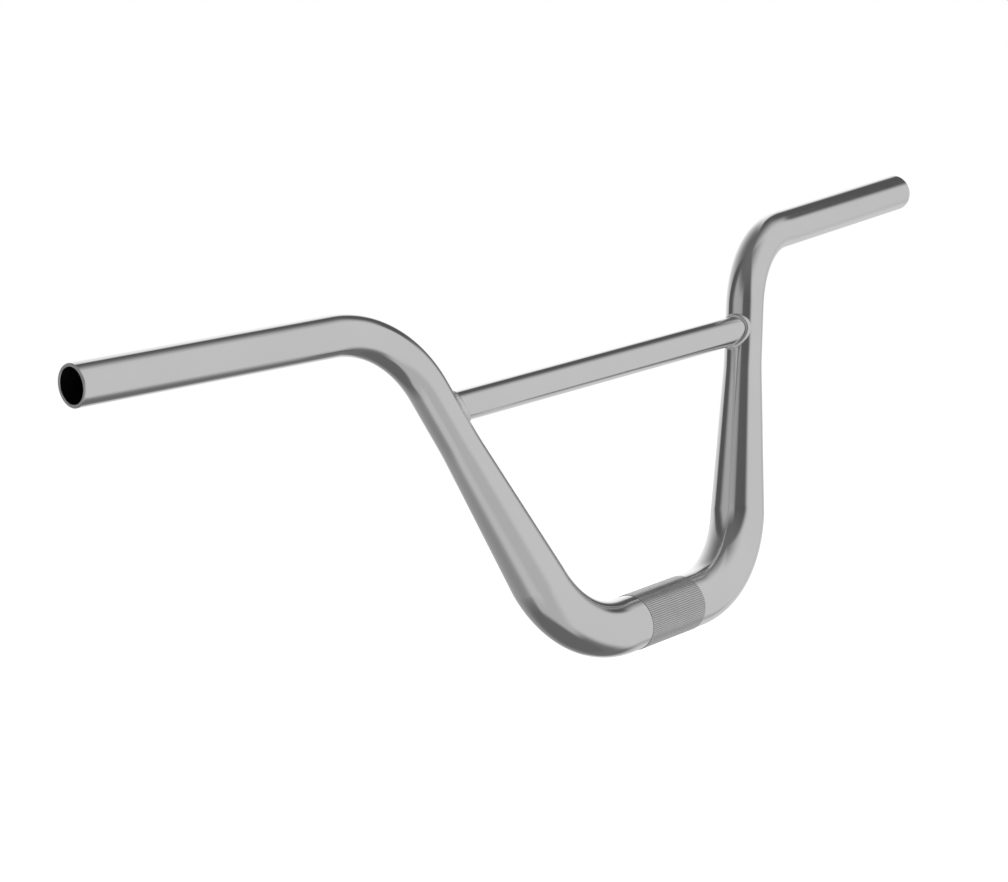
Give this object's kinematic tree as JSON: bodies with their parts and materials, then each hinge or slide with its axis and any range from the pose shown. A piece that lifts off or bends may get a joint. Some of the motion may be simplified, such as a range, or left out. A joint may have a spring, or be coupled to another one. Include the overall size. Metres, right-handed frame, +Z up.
{
  "type": "bicycle handlebar",
  "caption": "High-rise bicycle handlebar: a bent tapered tube with a knurled clamp zone, open grip ends and a welded crossbar between its legs.",
  "frame": {"origin": "middle of the knurled clamp zone, on the tube's axis", "axes": "+X along the clamp zone towards the right-hand grip, +Y back towards the rider, +Z up the rise, in the plane of the legs"},
  "size_m": [0.7396, 0.0513, 0.2264],
  "materials": {
    "polished_aluminium": "satin polish, knurled where the stem clamps",
    "weld_aluminium": "rippled weld bead, bare"
  },
  "bodies": {
    "root": {"main_tube": "polished_aluminium", "crossbar": "polished_aluminium", "weld_bead_left": "weld_aluminium", "weld_bead_right": "weld_aluminium"}
  },
  "joints": []
}
